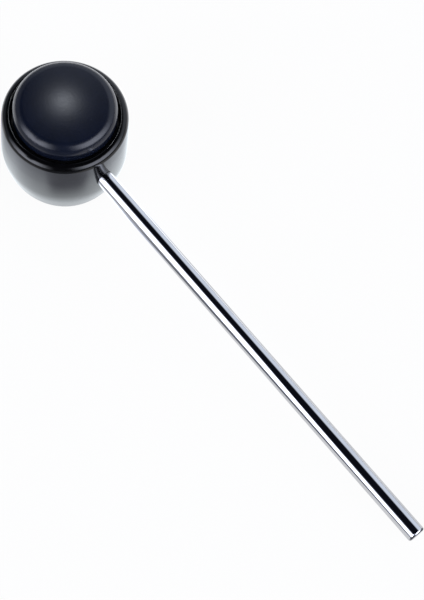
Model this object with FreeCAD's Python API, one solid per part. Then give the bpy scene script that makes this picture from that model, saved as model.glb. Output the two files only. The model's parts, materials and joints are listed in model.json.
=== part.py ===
import FreeCAD, Part
import math
import os

# Bass drum beater: a chromed rod, a hollow barrel head and a striking face that floats on a rubber core.
# Sizes are in millimetres. The strike axis is +Z, the head's flat back lies on Z = 0 and is centred on the
# origin, and the rod runs out of the head along -X.

V = FreeCAD.Vector
UP = V(0, 0, 1)
ORIGIN = V(0, 0, 0)

# Shaft
shaft_d = 8.0                # rod, the common size for a pedal's beater clamp
shaft_reach = 232.0          # from the strike axis to the rod's free end
shaft_height = 30.0          # rod axis above the head's back
shaft_tip_round = 1.0        # rounding of its free end
shaft_seat_relief = 0.25     # how much thinner it is turned where it sits in the barrel wall
shaft_seat_clear = 0.1       # how far that seat shows outside the barrel
shaft_seat_depth = 2.0       # how deep the seat goes into the barrel wall
shaft_shoulder = 0.25        # step from the seat down to the spigot inside the head
shaft_flat_depth = 0.6       # flat that the grub screw bears on
shaft_flat_length = 7.0
spigot_chamfer = 0.5

# Barrel shell
belly_r = 28.07              # widest radius of the barrel
belly_offset = 6.5           # how far that is behind the rod's axis
back_arc_r = 44.0            # curve of the side behind the widest place
back_round = 6.0             # rounding between the side and the flat back
front_arc_r = 400.0          # much flatter curve of the side in front of it
lip_rise = 17.8              # from the rod's axis to the crest of the lip round the mouth
lip_round = 3.1              # outer rounding of the lip
lip_inner_round = 1.0        # from the lip's crest down into the mouth
shell_wall = 3.2
shell_floor = 3.5
seat_rib_count = 6           # ribs inside the wall that the hub's flange sits on
seat_rib_w = 2.4
seat_rib_depth = 2.7

# Hub
hub_depth = 6.8              # from the lip's crest down to the floor of the gap round the face
hub_flange_t = 4.0
hub_round = 2.0              # between the column and the flange
hub_end_wall = 2.2           # beyond the end of the rod
hub_side_wall = 5.0          # round the hollow that is moulded in from below
hub_web = 3.5                # between that hollow and the rod
hub_skirt = 5.0              # how far the column reaches below the web
hub_gusset_count = 6
hub_gusset_w = 2.0
hub_gusset_rise = 9.0

# Grub screw on the shaft
grub_d = 5.0
grub_sink = 2.1              # how far it sits below the top of the hub
grub_spacing = 2.0           # wall between it and the lower stud
grub_socket_across = 2.5
grub_socket_depth = 2.6
grub_chamfer = 0.5

# Shock absorbing core: two plates with studs and the rubber bonded between them
plate_inset = 3.1            # plates inside the edge of the face's carrier
plate_t = 1.5
plate_edge = 0.3
stud_d = 6.0
stud_chamfer = 0.6
lower_stud_gap = 0.6         # left between the lower stud and the rod
upper_stud_length = 4.0
core_inset = 1.0             # rubber inside the edge of the plates
core_t = 5.0

# Face carrier and its threaded insert
carrier_t = 3.0
carrier_boss_wall = 2.8
carrier_boss_roof = 0.5
key_count = 6                # holes that the face's material fills
key_r = 2.0
insert_wall = 1.2
insert_groove_w = 1.0
insert_groove_depth = 0.4

# Striking face
face_gap = 0.8               # between the face's straight side and the mouth
face_edge_round = 5.0        # shoulder between that side and the dome
face_edge_rise = 2.85        # from the underside of the carrier to where the shoulder starts
face_dome_rise = 0.9         # crown of the shallow dome above its shoulder
face_wall = 4.5              # round the carrier
face_skirt = 1.9             # how far that wall reaches below the carrier
face_low_round = 1.2         # lower edge of the wall

# Clearances, all radial except the first
end_gap = 0.3                # beyond the end of a blind hole's contents
hole_fit = 0.05              # rod in the barrel wall
plug_fit = 0.1               # hub in the barrel's mouth
spigot_fit = 0.05            # rod in the hub
thread_fit = 0.05
glue_line = 0.1

# Values that follow from the sizes above
belly_height = shaft_height - belly_offset
lip_height = shaft_height + lip_rise
shaft_r = shaft_d / 2
seat_r = shaft_r - shaft_seat_relief
spigot_r = seat_r - shaft_shoulder
flat_height = shaft_height + spigot_r - shaft_flat_depth
grub_r = grub_d / 2
stud_r = stud_d / 2
grub_offset = stud_r + grub_spacing + grub_r
spigot_reach = grub_offset + shaft_flat_length / 2 + spigot_chamfer
hub_r = spigot_reach + end_gap + hub_end_wall
hub_core_r = hub_r - hub_side_wall
hub_core_top = shaft_height - spigot_r - hub_web
hub_bottom = hub_core_top - hub_skirt
hub_top = lip_height - hub_depth
hub_seat = hub_top - hub_flange_t
core_bottom = hub_top + plate_t
core_top = core_bottom + core_t
insert_r = stud_r + insert_wall
carrier_bottom = core_top + plate_t
carrier_top = carrier_bottom + carrier_t
insert_top = carrier_bottom + upper_stud_length
carrier_boss_r = insert_r + carrier_boss_wall
carrier_boss_top = insert_top + end_gap + carrier_boss_roof
face_bottom = carrier_bottom - face_skirt
face_edge_height = carrier_bottom + face_edge_rise
face_crown_height = face_edge_height + face_edge_round + face_dome_rise


# Helpers for turned shapes, with every profile point given as radius and height

def point(p):
    return V(p[0], 0, p[1])


def line(a, b):
    return Part.LineSegment(point(a), point(b)).toShape()


def on_circle(centre, radius, angle):
    return (centre[0] + radius * math.cos(angle), centre[1] + radius * math.sin(angle))


def arc(centre, radius, start, end):
    middle = (start + end) / 2
    a = point(on_circle(centre, radius, start))
    b = point(on_circle(centre, radius, middle))
    c = point(on_circle(centre, radius, end))
    return Part.Arc(a, b, c).toShape()


def turned(edges):
    face = Part.Face(Part.Wire(edges))
    return face.revolve(ORIGIN, UP, 360)


def turned_points(points):
    closed = points + [points[0]]
    edges = [line(a, b) for a, b in zip(closed, closed[1:])]
    return turned(edges)


def rod(radius, bottom, top, x=0.0, y=0.0):
    return Part.makeCylinder(radius, top - bottom, V(x, y, bottom), UP)


def round_pitch(count, pitch_r):
    step = 2 * math.pi / count
    return [(pitch_r * math.cos(step * i), pitch_r * math.sin(step * i)) for i in range(count)]


def ring_of(shape, count):
    # Copies spaced evenly round the strike axis, half a step away from the rod.
    step = 360 / count
    copies = []
    for i in range(count):
        copy = shape.copy()
        copy.rotate(ORIGIN, UP, step * (i + 0.5))
        copies.append(copy)
    return copies


# Curves of the barrel, which other pieces take their places from

def back_curve_centre():
    return (belly_r - back_arc_r, belly_height)


def front_curve_centre():
    return (belly_r - front_arc_r, belly_height)


def back_round_centre():
    c = back_curve_centre()
    reach = back_arc_r - back_round
    drop = c[1] - back_round
    return (c[0] + math.sqrt(reach ** 2 - drop ** 2), back_round)


def lip_centre():
    c = front_curve_centre()
    reach = front_arc_r - lip_round
    rise = lip_height - lip_round - c[1]
    return (c[0] + math.sqrt(reach ** 2 - rise ** 2), lip_height - lip_round)


def side_radius(z):
    # Outer radius of the barrel in front of its widest place.
    c = front_curve_centre()
    return c[0] + math.sqrt(front_arc_r ** 2 - (z - c[1]) ** 2)


mouth_r = lip_centre()[0] - lip_inner_round
hub_flange_r = mouth_r - plug_fit
face_r = mouth_r - face_gap
carrier_r = face_r - face_wall
plate_r = carrier_r - plate_inset
core_r = plate_r - core_inset
key_pitch_r = (carrier_boss_r + carrier_r) / 2
seat_start = belly_r + shaft_seat_clear
seat_end = side_radius(shaft_height) - shaft_seat_depth


# Rod, turned about its own axis and laid along -X

def along_rod(radius, start, end):
    return Part.makeCylinder(radius, end - start, V(-start, 0, shaft_height), V(-1, 0, 0))


def beater_shaft():
    rod = along_rod(shaft_r, seat_start, shaft_reach)
    rim = max(rod.Edges, key=lambda edge: -edge.BoundBox.XMax)
    body = rod.makeFillet(shaft_tip_round, [rim])
    seat = along_rod(seat_r, seat_end, seat_start)
    inner = spigot_reach - spigot_chamfer
    spigot = along_rod(spigot_r, -inner, seat_end)
    end_r = spigot_r - spigot_chamfer
    end = Part.makeCone(spigot_r, end_r, spigot_chamfer, V(inner, 0, shaft_height), V(1, 0, 0))
    whole = body.fuse([seat, spigot, end]).removeSplitter()
    corner = V(grub_offset - shaft_flat_length / 2, -spigot_r, flat_height)
    flat = Part.makeBox(shaft_flat_length, 2 * spigot_r, spigot_r, corner)
    return whole.cut(flat)


# Barrel shell: one continuous outline of tangent curves from the flat back to the lip

def shell_outside():
    back = back_curve_centre()
    front = front_curve_centre()
    foot = back_round_centre()
    lip = lip_centre()
    foot_angle = math.atan2(foot[1] - back[1], foot[0] - back[0])
    lip_angle = math.atan2(lip[1] - front[1], lip[0] - front[0])
    return [
        line((0, 0), (foot[0], 0)),
        arc(foot, back_round, -math.pi / 2, foot_angle),
        arc(back, back_arc_r, foot_angle, 0),
        arc(front, front_arc_r, 0, lip_angle),
        arc(lip, lip_round, lip_angle, math.pi / 2),
    ]


def shell_inside():
    # The lip's inner rounding runs from its crest to the mouth.
    back = back_curve_centre()
    inner_centre = (lip_centre()[0], lip_height - lip_inner_round)
    # Below it the wall is straight, down to a curve that keeps to the outside.
    inner_arc_r = back_arc_r - shell_wall
    bend = -math.acos((mouth_r - back[0]) / inner_arc_r)
    floor = -math.asin((back[1] - shell_floor) / inner_arc_r)
    bend_point = on_circle(back, inner_arc_r, bend)
    floor_point = on_circle(back, inner_arc_r, floor)
    return [
        arc(inner_centre, lip_inner_round, math.pi / 2, math.pi),
        line((mouth_r, inner_centre[1]), bend_point),
        arc(back, inner_arc_r, bend, floor),
        line(floor_point, (0, shell_floor)),
        line((0, shell_floor), (0, 0)),
    ]


def seat_ribs():
    # Each rib is cut off along the barrel's outside, so none can break through the wall.
    crest = (lip_centre()[0], lip_height)
    plug = turned(shell_outside() + [line(crest, (0, lip_height)), line((0, lip_height), (0, 0))])
    corner = V(mouth_r - seat_rib_depth, -seat_rib_w / 2, shell_floor)
    length = seat_rib_depth + shell_wall / 2
    rib = Part.makeBox(length, seat_rib_w, hub_seat - shell_floor, corner)
    return [copy.common(plug) for copy in ring_of(rib, seat_rib_count)]


def barrel_shell():
    shell = turned(shell_outside() + shell_inside())
    shell = shell.fuse(seat_ribs()).removeSplitter()
    outer_hole = along_rod(seat_r + hole_fit, seat_end, seat_start)
    inner_hole = along_rod(spigot_r + hole_fit, mouth_r - seat_rib_depth, seat_start)
    return shell.cut([outer_hole, inner_hole])


# Hub: a flange that closes the mouth, on a column bored across for the rod and down for the core's stud

def hub_gussets():
    inner_r = hub_r - 1
    outer_r = mouth_r - seat_rib_depth - end_gap
    side = -hub_gusset_w / 2
    low = V(inner_r, side, hub_seat - hub_gusset_rise)
    inner = V(inner_r, side, hub_seat)
    outer = V(outer_r, side, hub_seat)
    triangle = Part.Face(Part.makePolygon([low, inner, outer, low]))
    gusset = triangle.extrude(V(0, hub_gusset_w, 0))
    return ring_of(gusset, hub_gusset_count)


def hub():
    corner = (hub_r + hub_round, hub_seat - hub_round)
    edges = [
        line((hub_core_r, hub_bottom), (hub_r, hub_bottom)),
        line((hub_r, hub_bottom), (hub_r, corner[1])),
        arc(corner, hub_round, math.pi, math.pi / 2),
        line((corner[0], hub_seat), (hub_flange_r, hub_seat)),
        line((hub_flange_r, hub_seat), (hub_flange_r, hub_top)),
        line((hub_flange_r, hub_top), (0, hub_top)),
        line((0, hub_top), (0, hub_core_top)),
        line((0, hub_core_top), (hub_core_r, hub_core_top)),
        line((hub_core_r, hub_core_top), (hub_core_r, hub_bottom)),
    ]
    block = turned(edges).fuse(hub_gussets()).removeSplitter()
    rod_bore = along_rod(spigot_r + spigot_fit, -spigot_reach - end_gap, mouth_r)
    stud_bore = rod(stud_r + thread_fit, shaft_height, hub_top)
    grub_bore = rod(grub_r + thread_fit, shaft_height, hub_top, grub_offset)
    return block.cut([rod_bore, stud_bore, grub_bore])


# Grub screw

def shaft_grub_screw():
    top = hub_top - grub_sink
    points = [
        (0, flat_height),
        (grub_r - 2 * grub_chamfer, flat_height),
        (grub_r, flat_height + 2 * grub_chamfer),
        (grub_r, top - grub_chamfer),
        (grub_r - grub_chamfer, top),
        (0, top),
    ]
    body = turned_points(points)
    corner_r = grub_socket_across / math.sqrt(3)
    corners = [V(x, y, top - grub_socket_depth) for x, y in round_pitch(6, corner_r)]
    hexagon = Part.Face(Part.makePolygon(corners + [corners[0]]))
    screw = body.cut(hexagon.extrude(V(0, 0, grub_socket_depth)))
    screw.translate(V(grub_offset, 0, 0))
    return screw


# Shock absorbing core

def plate_with_stud(inner, outer, stud_end):
    # inner is the bonded side, outer the side that carries the stud.
    way = 1 if outer > inner else -1
    points = [
        (0, inner),
        (plate_r - plate_edge, inner),
        (plate_r, inner + way * plate_edge),
        (plate_r, outer - way * plate_edge),
        (plate_r - plate_edge, outer),
        (stud_r, outer),
        (stud_r, stud_end - way * stud_chamfer),
        (stud_r - stud_chamfer, stud_end),
        (0, stud_end),
    ]
    return turned_points(points)


def core_base_plate():
    stud_end = shaft_height + spigot_r + lower_stud_gap
    return plate_with_stud(core_bottom, hub_top, stud_end)


def core_top_plate():
    return plate_with_stud(core_top, carrier_bottom, insert_top)


def elastomer_core():
    return rod(core_r, core_bottom, core_top)


# Striking face and what holds it

def face_carrier():
    plate = rod(carrier_r, carrier_bottom, carrier_top)
    boss = rod(carrier_boss_r, carrier_bottom, carrier_boss_top)
    carrier = plate.fuse(boss).removeSplitter()
    cuts = [rod(key_r, carrier_bottom, carrier_top, x, y) for x, y in round_pitch(key_count, key_pitch_r)]
    cuts.append(rod(insert_r, carrier_bottom, insert_top + end_gap))
    return carrier.cut(cuts)


def carrier_insert():
    hole = stud_r + thread_fit
    middle = (carrier_bottom + insert_top) / 2
    low = middle - insert_groove_w / 2
    high = middle + insert_groove_w / 2
    waist = insert_r - insert_groove_depth
    outer = insert_r - thread_fit
    points = [
        (hole, carrier_bottom),
        (outer, carrier_bottom),
        (outer, low),
        (waist, low),
        (waist, high),
        (outer, high),
        (outer, insert_top),
        (hole, insert_top),
    ]
    return turned_points(points)


def face_dome_r():
    # Radius of the shallow dome that runs into the round edge without a corner.
    reach = face_r - face_edge_round
    rise = face_crown_height - face_edge_height
    return (reach ** 2 + rise ** 2 - face_edge_round ** 2) / (2 * (rise - face_edge_round))


def striking_face():
    foot = (face_r - face_low_round, face_bottom + face_low_round)
    edge = (face_r - face_edge_round, face_edge_height)
    dome_r = face_dome_r()
    dome = (0, face_crown_height - dome_r)
    turn = math.atan2(edge[1] - dome[1], edge[0] - dome[0])
    bore_r = carrier_r + glue_line
    boss_bore_r = carrier_boss_r + glue_line
    edges = [
        arc(foot, face_low_round, -math.pi / 2, 0),
        line((face_r, foot[1]), (face_r, edge[1])),
        arc(edge, face_edge_round, 0, turn),
        arc(dome, dome_r, turn, math.pi / 2),
        line((0, face_crown_height), (0, carrier_boss_top)),
        line((0, carrier_boss_top), (boss_bore_r, carrier_boss_top)),
        line((boss_bore_r, carrier_boss_top), (boss_bore_r, carrier_top)),
        line((boss_bore_r, carrier_top), (bore_r, carrier_top)),
        line((bore_r, carrier_top), (bore_r, face_bottom)),
        line((bore_r, face_bottom), (foot[0], face_bottom)),
    ]
    face = turned(edges)
    keys = [rod(key_r - glue_line, carrier_bottom, carrier_top, x, y)
            for x, y in round_pitch(key_count, key_pitch_r)]
    return face.fuse(keys).removeSplitter()


# Every piece, one file each

pieces = {
    "beater_shaft": beater_shaft(),
    "barrel_shell": barrel_shell(),
    "hub": hub(),
    "shaft_grub_screw": shaft_grub_screw(),
    "core_base_plate": core_base_plate(),
    "elastomer_core": elastomer_core(),
    "core_top_plate": core_top_plate(),
    "face_carrier": face_carrier(),
    "carrier_insert": carrier_insert(),
    "striking_face": striking_face(),
}

os.makedirs("parts", exist_ok=True)
for name, shape in pieces.items():
    shape.exportStep("parts/" + name + ".step")
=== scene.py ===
import json
import math

import bpy
from mathutils import Matrix, Vector


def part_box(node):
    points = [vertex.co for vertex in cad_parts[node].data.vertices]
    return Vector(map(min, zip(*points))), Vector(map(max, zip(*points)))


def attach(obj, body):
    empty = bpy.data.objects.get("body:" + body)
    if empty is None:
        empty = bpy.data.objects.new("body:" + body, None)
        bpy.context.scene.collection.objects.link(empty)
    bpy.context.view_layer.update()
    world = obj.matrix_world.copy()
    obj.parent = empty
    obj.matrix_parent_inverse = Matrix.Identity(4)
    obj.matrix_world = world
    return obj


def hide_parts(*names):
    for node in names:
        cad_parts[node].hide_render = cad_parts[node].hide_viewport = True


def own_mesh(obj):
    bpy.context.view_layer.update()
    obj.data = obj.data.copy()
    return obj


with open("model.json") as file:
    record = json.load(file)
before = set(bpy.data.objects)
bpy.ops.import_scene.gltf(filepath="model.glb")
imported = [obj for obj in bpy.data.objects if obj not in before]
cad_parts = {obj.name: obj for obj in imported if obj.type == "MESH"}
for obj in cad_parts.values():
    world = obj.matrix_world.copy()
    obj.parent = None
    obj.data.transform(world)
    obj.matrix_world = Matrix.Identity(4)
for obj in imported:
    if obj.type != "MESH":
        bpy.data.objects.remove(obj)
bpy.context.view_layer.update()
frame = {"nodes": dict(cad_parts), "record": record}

nodes = frame["nodes"]
scene = bpy.context.scene
scene.view_settings.view_transform = "Standard"

MM = 0.001


# Material helpers

class Shader:
    """A node material with a Principled surface, and short calls for the nodes that feed it."""

    def __init__(self, name):
        self.mat = bpy.data.materials.new(name)
        self.mat.use_nodes = True
        self.tree = self.mat.node_tree
        self.bsdf = self.tree.nodes["Principled BSDF"]
        self.coord = self.tree.nodes.new("ShaderNodeTexCoord").outputs["Object"]

    def set(self, **values):
        for key, value in values.items():
            self.bsdf.inputs[key.replace("_", " ")].default_value = value
        return self

    def link(self, a, b):
        self.tree.links.new(a, b)

    def noise(self, scale, detail=3.0, stretch=(1, 1, 1)):
        mapping = self.tree.nodes.new("ShaderNodeMapping")
        mapping.inputs["Scale"].default_value = stretch
        self.link(self.coord, mapping.inputs["Vector"])
        node = self.tree.nodes.new("ShaderNodeTexNoise")
        node.inputs["Scale"].default_value = scale
        node.inputs["Detail"].default_value = detail
        self.link(mapping.outputs["Vector"], node.inputs["Vector"])
        return node.outputs["Fac"]

    def colour(self, fac, low, high, a=0.35, b=0.65):
        ramp = self.tree.nodes.new("ShaderNodeValToRGB")
        ramp.color_ramp.elements[0].position = a
        ramp.color_ramp.elements[1].position = b
        ramp.color_ramp.elements[0].color = (*low, 1)
        ramp.color_ramp.elements[1].color = (*high, 1)
        self.link(fac, ramp.inputs["Fac"])
        self.link(ramp.outputs["Color"], self.bsdf.inputs["Base Color"])
        return self

    def roughness(self, fac, low, high):
        span = self.tree.nodes.new("ShaderNodeMapRange")
        span.inputs["From Min"].default_value = 0.3
        span.inputs["From Max"].default_value = 0.7
        span.inputs["To Min"].default_value = low
        span.inputs["To Max"].default_value = high
        self.link(fac, span.inputs["Value"])
        self.link(span.outputs["Result"], self.bsdf.inputs["Roughness"])
        return self

    def bump(self, fac, strength, distance):
        node = self.tree.nodes.new("ShaderNodeBump")
        node.inputs["Strength"].default_value = strength
        node.inputs["Distance"].default_value = distance
        self.link(fac, node.inputs["Height"])
        self.link(node.outputs["Normal"], self.bsdf.inputs["Normal"])
        return self


def chrome():
    s = Shader("chromed_steel").set(Metallic=1.0)
    s.colour(s.noise(140), (0.74, 0.75, 0.77), (0.80, 0.81, 0.83))
    s.roughness(s.noise(260, stretch=(0.15, 1, 1)), 0.02, 0.05)
    return s.mat


def barrel_gloss():
    s = Shader("barrel_gloss_black").set(IOR=1.5)
    s.colour(s.noise(90), (0.0014, 0.0014, 0.0016), (0.0022, 0.0022, 0.0025))
    s.roughness(s.noise(220), 0.09, 0.13)
    s.bump(s.noise(420, 2), 0.02, 0.0002)
    return s.mat


def face_satin():
    s = Shader("face_satin").set(IOR=1.5)
    s.colour(s.noise(160), (0.0042, 0.0062, 0.0135), (0.0050, 0.0074, 0.0165))
    s.roughness(s.noise(1400), 0.20, 0.24)
    s.bump(s.noise(1200, 3), 0.12, 0.0001)
    return s.mat


def nylon():
    s = Shader("moulded_nylon").set(IOR=1.5)
    s.colour(s.noise(200), (0.0020, 0.0020, 0.0022), (0.0035, 0.0035, 0.0040))
    s.roughness(s.noise(500), 0.45, 0.6)
    s.bump(s.noise(1800, 4), 0.15, 0.0001)
    return s.mat


def plated_steel():
    s = Shader("plated_steel").set(Metallic=1.0)
    s.colour(s.noise(300), (0.48, 0.48, 0.49), (0.60, 0.60, 0.61))
    s.roughness(s.noise(700), 0.25, 0.4)
    s.bump(s.noise(1500, 4), 0.05, 0.0001)
    return s.mat


def core_rubber():
    s = Shader("core_rubber").set(IOR=1.5)
    s.colour(s.noise(250), (0.010, 0.010, 0.010), (0.018, 0.018, 0.018))
    s.roughness(s.noise(600), 0.6, 0.8)
    s.bump(s.noise(1400, 4), 0.2, 0.0001)
    return s.mat


def insert_brass():
    s = Shader("insert_brass").set(Metallic=1.0)
    s.colour(s.noise(300), (0.62, 0.43, 0.16), (0.74, 0.54, 0.22))
    s.roughness(s.noise(700), 0.22, 0.36)
    s.bump(s.noise(900, 3, (1, 1, 6)), 0.05, 0.0001)
    return s.mat


MATERIALS = {
    "chromed_steel": chrome(),
    "barrel_gloss_black": barrel_gloss(),
    "face_satin": face_satin(),
    "moulded_nylon": nylon(),
    "plated_steel": plated_steel(),
    "core_rubber": core_rubber(),
    "insert_brass": insert_brass(),
}

# CAD pieces: each shows the material of its slot

for part in frame["record"]["subparts"]:
    obj = nodes[part["node"]]
    obj.data.materials.clear()
    obj.data.materials.append(MATERIALS[part["material_slot"]])

SHOWN_OUTSIDE = ("barrel_shell", "striking_face", "beater_shaft")
JOIN_WITHIN = 0.001 * MM
SHARP_FROM = math.radians(35)


def even_shading(obj):
    """Carries the shading over tangent surfaces and keeps the real edges sharp. The shape stays as it is."""
    join = obj.modifiers.new("join_faces", "WELD")
    join.merge_threshold = JOIN_WITHIN
    edges = obj.modifiers.new("keep_edges", "EDGE_SPLIT")
    edges.split_angle = SHARP_FROM
    normals = obj.modifiers.new("even_normals", "WEIGHTED_NORMAL")
    normals.mode = "FACE_AREA"


for name in SHOWN_OUTSIDE:
    even_shading(nodes[name])


# Rubber core: bulged between its two plates

def turned_mesh(name, profile, steps=128):
    """A closed mesh turned about the strike axis from points given as radius and height."""
    verts = []
    for r, z in profile:
        for i in range(steps):
            a = 2 * math.pi * i / steps
            verts.append((r * math.cos(a), r * math.sin(a), z))
    faces = [list(range(steps))[::-1]]
    for row in range(len(profile) - 1):
        low = row * steps
        high = low + steps
        for i in range(steps):
            j = (i + 1) % steps
            faces.append((low + i, low + j, high + j, high + i))
    faces.append([(len(profile) - 1) * steps + i for i in range(steps)])
    mesh = bpy.data.meshes.new(name)
    mesh.from_pydata(verts, [], faces)
    mesh.shade_smooth()
    mesh.set_sharp_from_angle(angle=math.radians(40))
    obj = bpy.data.objects.new(name, mesh)
    scene.collection.objects.link(obj)
    return obj


def rubber_core():
    low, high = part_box("elastomer_core")
    bond_r = high[0]
    bulge = 0.6 * MM
    fillet = 0.5 * MM
    fillet_power = 8
    rows = 16
    profile = []
    for i in range(rows + 1):
        t = i / rows
        flare = fillet * (abs(2 * t - 1) ** fillet_power)
        profile.append((bond_r + bulge * math.sin(math.pi * t) + flare, low[2] + t * (high[2] - low[2])))
    core = turned_mesh("bulged_core", profile)
    core.data.materials.append(MATERIALS["core_rubber"])
    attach(core, "beater")
    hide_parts("elastomer_core")
    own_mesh(core)


rubber_core()


# Node helper for the floor's material and the world

class Graph:
    """Short calls for the nodes of one tree."""

    def __init__(self, tree):
        self.nodes = tree.nodes
        self.links = tree.links

    def new(self, kind):
        return self.nodes.new("ShaderNode" + kind)

    def put(self, value, socket):
        if isinstance(value, bpy.types.NodeSocket):
            self.links.new(value, socket)
        elif isinstance(value, tuple):
            socket.default_value = (*value, 1) if len(socket.default_value) == 4 else value
        else:
            socket.default_value = value

    def math(self, operation, a, b=0.0):
        node = self.new("Math")
        node.operation = operation
        self.put(a, node.inputs[0])
        self.put(b, node.inputs[1])
        return node.outputs["Value"]

    def ramp(self, value, low, high, start=0.0, end=1.0):
        node = self.new("MapRange")
        node.interpolation_type = "SMOOTHSTEP"
        self.put(low, node.inputs["From Min"])
        self.put(high, node.inputs["From Max"])
        self.put(start, node.inputs["To Min"])
        self.put(end, node.inputs["To Max"])
        self.put(value, node.inputs["Value"])
        return node.outputs["Result"]

    def window(self, value, rise, fall):
        up = self.ramp(value, *rise)
        down = self.ramp(value, *fall, 1.0, 0.0)
        return self.math("MULTIPLY", up, down)

    def mix(self, fac, a, b):
        """Mixes two colours. A Mix node's colour sockets come after those for numbers and vectors."""
        colour_a, colour_b, colour_out = 6, 7, 2
        node = self.new("Mix")
        node.data_type = "RGBA"
        self.put(fac, node.inputs["Factor"])
        self.put(a, node.inputs[colour_a])
        self.put(b, node.inputs[colour_b])
        return node.outputs[colour_out]

    def split(self, vector):
        node = self.new("SeparateXYZ")
        self.put(vector, node.inputs["Vector"])
        return node.outputs["X"], node.outputs["Y"], node.outputs["Z"]


# Floor: the beater lies on the edge of its back and on the end of its rod, so the floor is tilted in this frame.
# The camera sees it white, and gloss and metal mirror a painted glow on it, with painted light and shade that vary
# round the head.

BACK_FLAT_R = 17.8 * MM
BACK_ROUND = 6 * MM
FOOT = Vector((-BACK_FLAT_R, 0, BACK_ROUND))
TIP = Vector((-231 * MM, 0, 26 * MM))
FLOOR_SIZE = 12
FLOOR_GAP = 0.05 * MM

WHITE = (1, 1, 1)
BLACK = (0, 0, 0)
FLOOR_GREY = (0.9, 0.9, 0.9)
CAMERA_GLOW = 0.95
MIRRORED_GLOW = 0.9

# Painted light and shade of the floor's glow, as gloss and metal mirror it
FRONT = math.radians(145)
PAINTED_FOOT_SHADE = (0.80, 0.83, 0.86)
PAINTED_RING_GLOW = (1.95, 2.08, 2.18)
PAST_RING = (0.96, 1.01, 1.16)
PAST_RING_FRONT = (0.53, 0.55, 0.64)
FAR = (0.72, 0.72, 0.73)
FAR_LEFT = (0.35, 0.35, 0.36)
PAINTED_SHADE_TO_CAMERA = (0.07, 0.075, 0.09)
PAINTED_LIGHT_BEHIND = (1.55, 1.58, 1.65)
PAINTED_DARK_PAST_TIP = (0.01, 0.01, 0.012)


def floor_tilt():
    run = TIP - FOOT
    return math.atan2(run.z, -run.x) + math.asin(BACK_ROUND / run.length)


def painted_floor_reflection(g):
    """The painted light and shade that gloss and metal mirror in the floor's glow, by distance and bearing from
    under the middle of the head.
    """
    x, y, _ = g.split(g.new("TexCoord").outputs["Object"])
    across = g.math("SUBTRACT", x, BACK_FLAT_R)
    reach = g.math("SQRT", g.math("ADD", g.math("MULTIPLY", across, across), g.math("MULTIPLY", y, y)))
    ahead = g.math("ADD", g.math("MULTIPLY", across, math.cos(FRONT)), g.math("MULTIPLY", y, math.sin(FRONT)))
    # The cosine of the bearing: 1 towards the camera and -1 behind the head.
    facing = g.math("DIVIDE", ahead, reach)

    # A painted bright ring of light round the foot, with painted shade right at the foot and past the ring towards
    # the camera; the ring ends soonest towards the camera.
    front = g.ramp(facing, 0.82, 1.0)
    ring = g.mix(g.ramp(reach, 21 * MM, 30 * MM), PAINTED_FOOT_SHADE, PAINTED_RING_GLOW)
    past_ring = g.mix(front, PAST_RING, PAST_RING_FRONT)
    ring_end = g.ramp(front, 0.0, 1.0, 58 * MM, 46 * MM)
    near = g.mix(g.ramp(reach, 34 * MM, ring_end), ring, past_ring)

    # Painted shade makes it dimmer behind the head, more so on the left, where the barrel's outline mirrors it.
    left_painted_shade = g.ramp(facing, -0.30, 0.32, 0.47, 0.0)
    right_painted_shade = g.ramp(facing, 0.05, 0.45, 0.18, 0.0)
    near = g.mix(g.ramp(y, -8 * MM, 8 * MM, right_painted_shade, left_painted_shade), near, BLACK)

    # Further out it is grey, with painted shade towards the camera except along the rod and painted light behind,
    # and past the rod's tip it is painted dark.
    far = g.mix(g.ramp(y, 50 * MM, 100 * MM), FAR, FAR_LEFT)
    off_rod = g.ramp(g.math("ABSOLUTE", y), 25 * MM, 42 * MM)
    far = g.mix(g.math("MULTIPLY", g.ramp(facing, 0.7, 0.95), off_rod), far, PAINTED_SHADE_TO_CAMERA)
    far = g.mix(g.ramp(facing, -0.3, -0.05), PAINTED_LIGHT_BEHIND, far)
    tip_x = TIP.x + BACK_FLAT_R
    far = g.mix(g.ramp(x, tip_x - 6 * MM, tip_x - 1 * MM), PAINTED_DARK_PAST_TIP, far)
    return g.mix(g.ramp(reach, 52 * MM, 75 * MM), near, far)


def floor_material():
    mat = bpy.data.materials.new("floor_white")
    mat.use_nodes = True
    mat.node_tree.nodes.clear()
    g = Graph(mat.node_tree)
    path = g.new("LightPath").outputs
    diffuse = g.new("BsdfDiffuse")
    g.put(FLOOR_GREY, diffuse.inputs["Color"])
    glow = g.new("Emission")
    g.put(g.mix(path["Is Camera Ray"], painted_floor_reflection(g), WHITE), glow.inputs["Color"])
    seen = g.math("MULTIPLY", path["Is Camera Ray"], CAMERA_GLOW)
    # Gloss and metal see mostly the painted glow, not the lit floor.
    mirrored = g.math("MULTIPLY", path["Is Glossy Ray"], MIRRORED_GLOW)
    blend = g.new("MixShader")
    g.put(g.math("ADD", seen, mirrored), blend.inputs["Fac"])
    g.put(diffuse.outputs["BSDF"], blend.inputs[1])
    g.put(glow.outputs["Emission"], blend.inputs[2])
    g.put(blend.outputs["Shader"], g.new("OutputMaterial").inputs["Surface"])
    return mat


def lay_floor():
    tilt = floor_tilt()
    normal = Vector((math.sin(tilt), 0, math.cos(tilt)))
    touch = FOOT - normal * (BACK_ROUND + FLOOR_GAP)
    bpy.ops.mesh.primitive_plane_add(size=FLOOR_SIZE, location=touch, rotation=(0, tilt, 0))
    floor = bpy.context.object
    floor.name = "floor"
    floor.data.materials.append(floor_material())


lay_floor()


# Studio: a soft box on either side of the camera, pale walls elsewhere and a dark ceiling, level with the floor.
# Bearings are in degrees.

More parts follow.
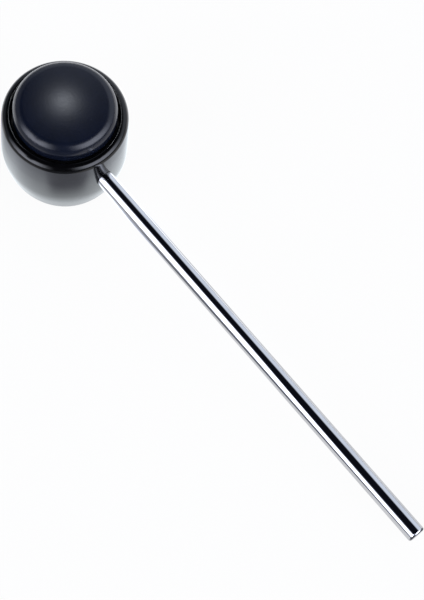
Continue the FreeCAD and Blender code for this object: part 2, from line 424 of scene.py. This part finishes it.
CAMERA_BEARING = 141.0
LEFT_BOX = (3.75, 3.9, 4.5)
RIGHT_BOX = (3.45, 3.6, 4.2)
WALLS = (0.72, 0.78, 0.90)
WALL_BY_CAMERA = (0.01, 0.01, 0.012)
WALL_PAST_HEAD = (0.26, 0.28, 0.34)
CEILING = (0.004, 0.0045, 0.008)
HORIZON = (0.30, 0.30, 0.32)
HORIZON_BY_CAMERA = (0.03, 0.03, 0.035)


def rise(elevation):
    """The height of a direction at an elevation in degrees."""
    return math.sin(math.radians(elevation))


def bearing(g, turn):
    """An angle in radians as degrees from 0 to 360."""
    return g.math("MULTIPLY", g.math("FRACT", g.math("DIVIDE", turn, 2 * math.pi)), 360.0)


def room(g):
    """The colour of the studio by direction."""
    level = g.new("VectorRotate")
    level.rotation_type = "Y_AXIS"
    g.put(g.new("TexCoord").outputs["Generated"], level.inputs["Vector"])
    g.put(-floor_tilt(), level.inputs["Angle"])
    x, y, z = g.split(level.outputs["Vector"])
    turn = g.math("ARCTAN2", y, x)
    azimuth = bearing(g, turn)
    quarter_on = bearing(g, g.math("ADD", turn, math.pi / 2))

    away = g.ramp(g.math("ABSOLUTE", g.math("SUBTRACT", azimuth, CAMERA_BEARING)), 20, 80)
    walls = g.mix(away, WALL_BY_CAMERA, WALLS)
    walls = g.mix(g.window(quarter_on, (55, 85), (135, 155)), walls, WALL_PAST_HEAD)

    # The ceiling's soft edge is higher on the rod's far side.
    far_side = g.window(azimuth, (230, 280), (322, 350))
    edge_low = g.ramp(far_side, 0, 1, rise(38), rise(46))
    edge_high = g.ramp(far_side, 0, 1, rise(54), rise(63))
    walls = g.mix(g.ramp(z, edge_low, edge_high), walls, CEILING)

    # The left box is lower where the rod's outer half mirrors it, so that its white band narrows to the tip.
    dip = g.window(azimuth, (76, 92), (93, 99))
    left_full = g.ramp(dip, 0, 1, rise(42), rise(25))
    left_end = g.ramp(dip, 0, 1, rise(66), rise(45))
    left_height = g.ramp(z, left_full, left_end, 1.0, 0.0)
    left = g.math("MULTIPLY", g.window(azimuth, (50, 82), (98, 130)), left_height)
    walls = g.mix(left, walls, LEFT_BOX)
    right_height = g.ramp(z, rise(42), rise(58), 1.0, 0.0)
    right = g.math("MULTIPLY", g.window(azimuth, (150, 182), (202, 242)), right_height)
    walls = g.mix(right, walls, RIGHT_BOX)

    horizon = g.mix(away, HORIZON_BY_CAMERA, HORIZON)
    return g.mix(g.ramp(z, rise(1), rise(10)), horizon, walls)


def studio():
    world = bpy.data.worlds.new("studio")
    scene.world = world
    world.use_nodes = True
    world.node_tree.nodes.clear()
    g = Graph(world.node_tree)
    seen = g.new("Background")
    g.put(WHITE, seen.inputs["Color"])
    lit = g.new("Background")
    g.put(room(g), lit.inputs["Color"])
    choose = g.new("MixShader")
    g.put(g.new("LightPath").outputs["Is Camera Ray"], choose.inputs["Fac"])
    g.put(lit.outputs["Background"], choose.inputs[1])
    g.put(seen.outputs["Background"], choose.inputs[2])
    g.put(choose.outputs["Shader"], g.new("OutputWorld").inputs["Surface"])


studio()


def overhead_lamp():
    data = bpy.data.lights.new("overhead", "AREA")
    data.shape = "DISK"
    data.size = 0.09
    data.energy = 0.42
    data.color = (0.95, 1.0, 1.08)
    obj = bpy.data.objects.new("overhead", data)
    scene.collection.objects.link(obj)
    head = Vector((0, 0, 50 * MM))
    direction = Vector((0.380, -0.297, 0.876))
    distance = 1.2
    obj.location = head + direction * distance
    obj.rotation_euler = (-direction).to_track_quat("-Z", "Y").to_euler()


overhead_lamp()


# Camera, at the photograph's viewing angle

def camera():
    data = bpy.data.cameras.new("camera")
    data.lens = 102.389
    data.sensor_width = 36
    data.clip_start = 0.01
    obj = bpy.data.objects.new("camera", data)
    scene.collection.objects.link(obj)
    right = Vector((-0.640302, -0.763219, 0.086659))
    up = Vector((0.731216, -0.571094, 0.373061))
    back = right.cross(up)
    rotation = Matrix((right, up, back)).transposed().to_4x4()
    obj.matrix_world = Matrix.Translation((-0.271976, 0.219643, 0.702288)) @ rotation
    scene.camera = obj


camera()
